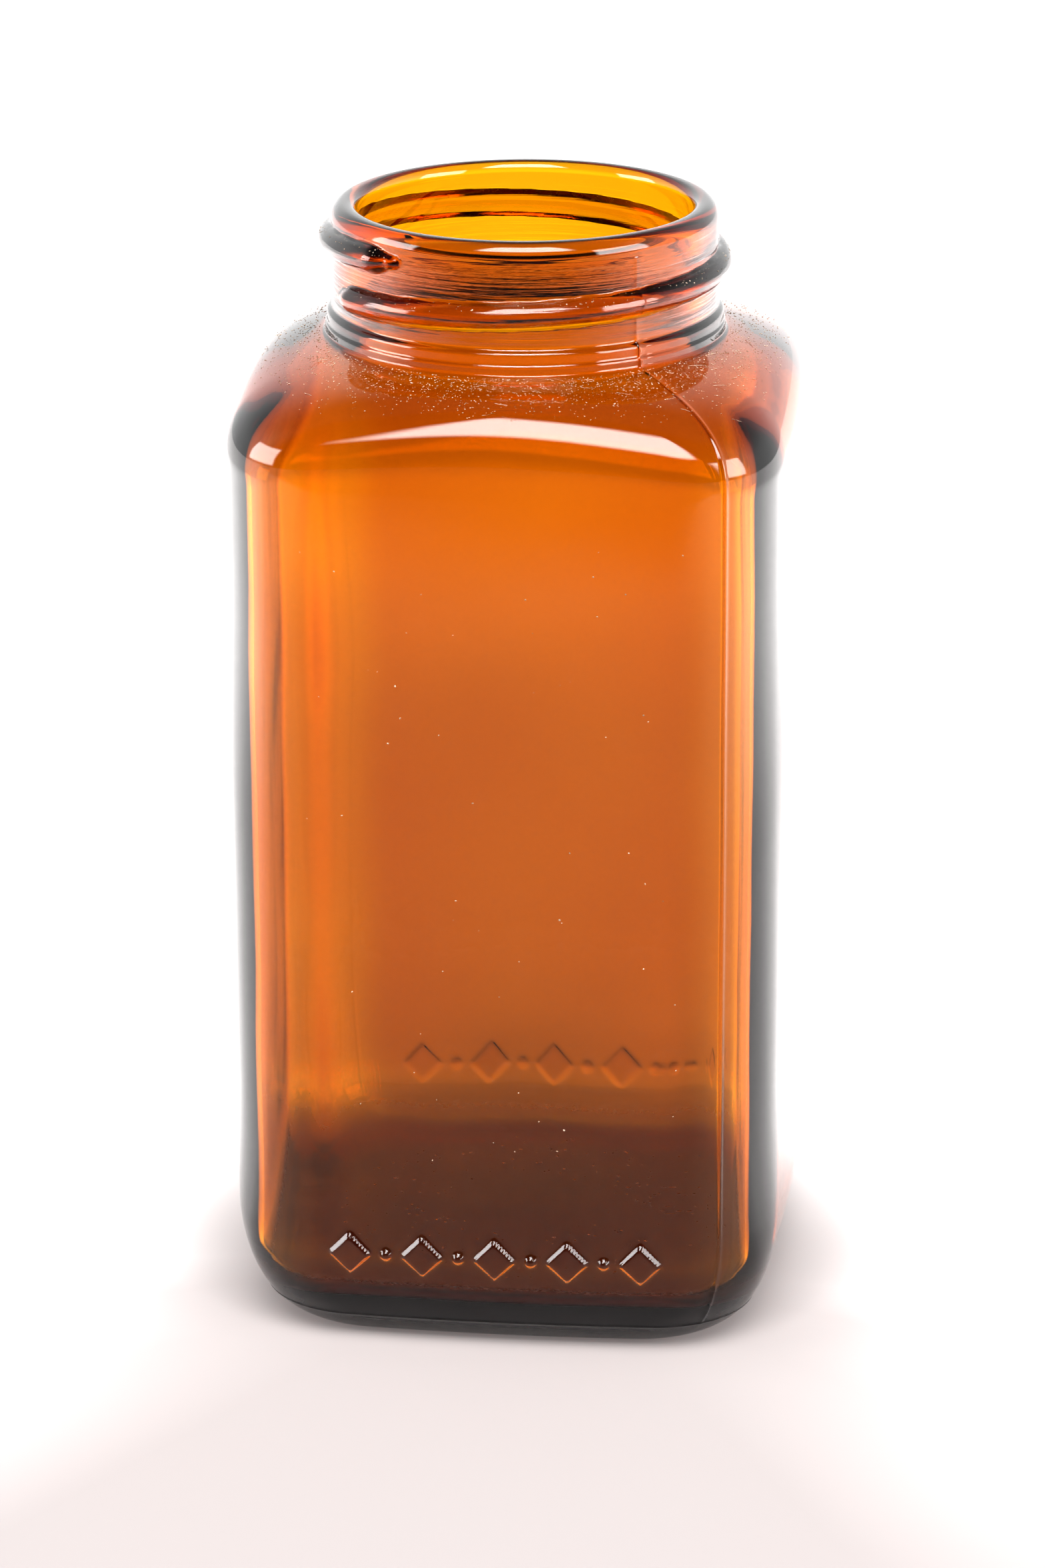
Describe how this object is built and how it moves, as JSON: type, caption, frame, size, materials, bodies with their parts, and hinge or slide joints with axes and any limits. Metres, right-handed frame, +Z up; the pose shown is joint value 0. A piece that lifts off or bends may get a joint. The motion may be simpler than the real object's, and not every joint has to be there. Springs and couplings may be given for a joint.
{
  "type": "square glass vial with screw neck",
  "caption": "Square amber glass vial with rounded corners, a sloping shoulder and a short wide screw neck, open and without its cap.",
  "frame": {"origin": "middle of the base, on the surface that the vial stands on", "axes": "+Z up through the mouth, -Y out of the front face, +X to the right as the front is seen"},
  "size_m": [0.0506, 0.0516, 0.1018],
  "materials": {
    "amber_glass": "transparent amber, glossy, slightly wavy as blown glass is"
  },
  "bodies": {
    "root": {"base": "amber_glass", "wall_front": "amber_glass", "wall_right": "amber_glass", "wall_back": "amber_glass", "wall_left": "amber_glass", "corner_front_left": "amber_glass", "corner_front_right": "amber_glass", "corner_back_right": "amber_glass", "corner_back_left": "amber_glass", "shoulder": "amber_glass", "neck_ring": "amber_glass", "neck": "amber_glass", "lip": "amber_glass", "thread": "amber_glass", "ornament_front": "amber_glass", "ornament_back": "amber_glass"}
  },
  "joints": []
}
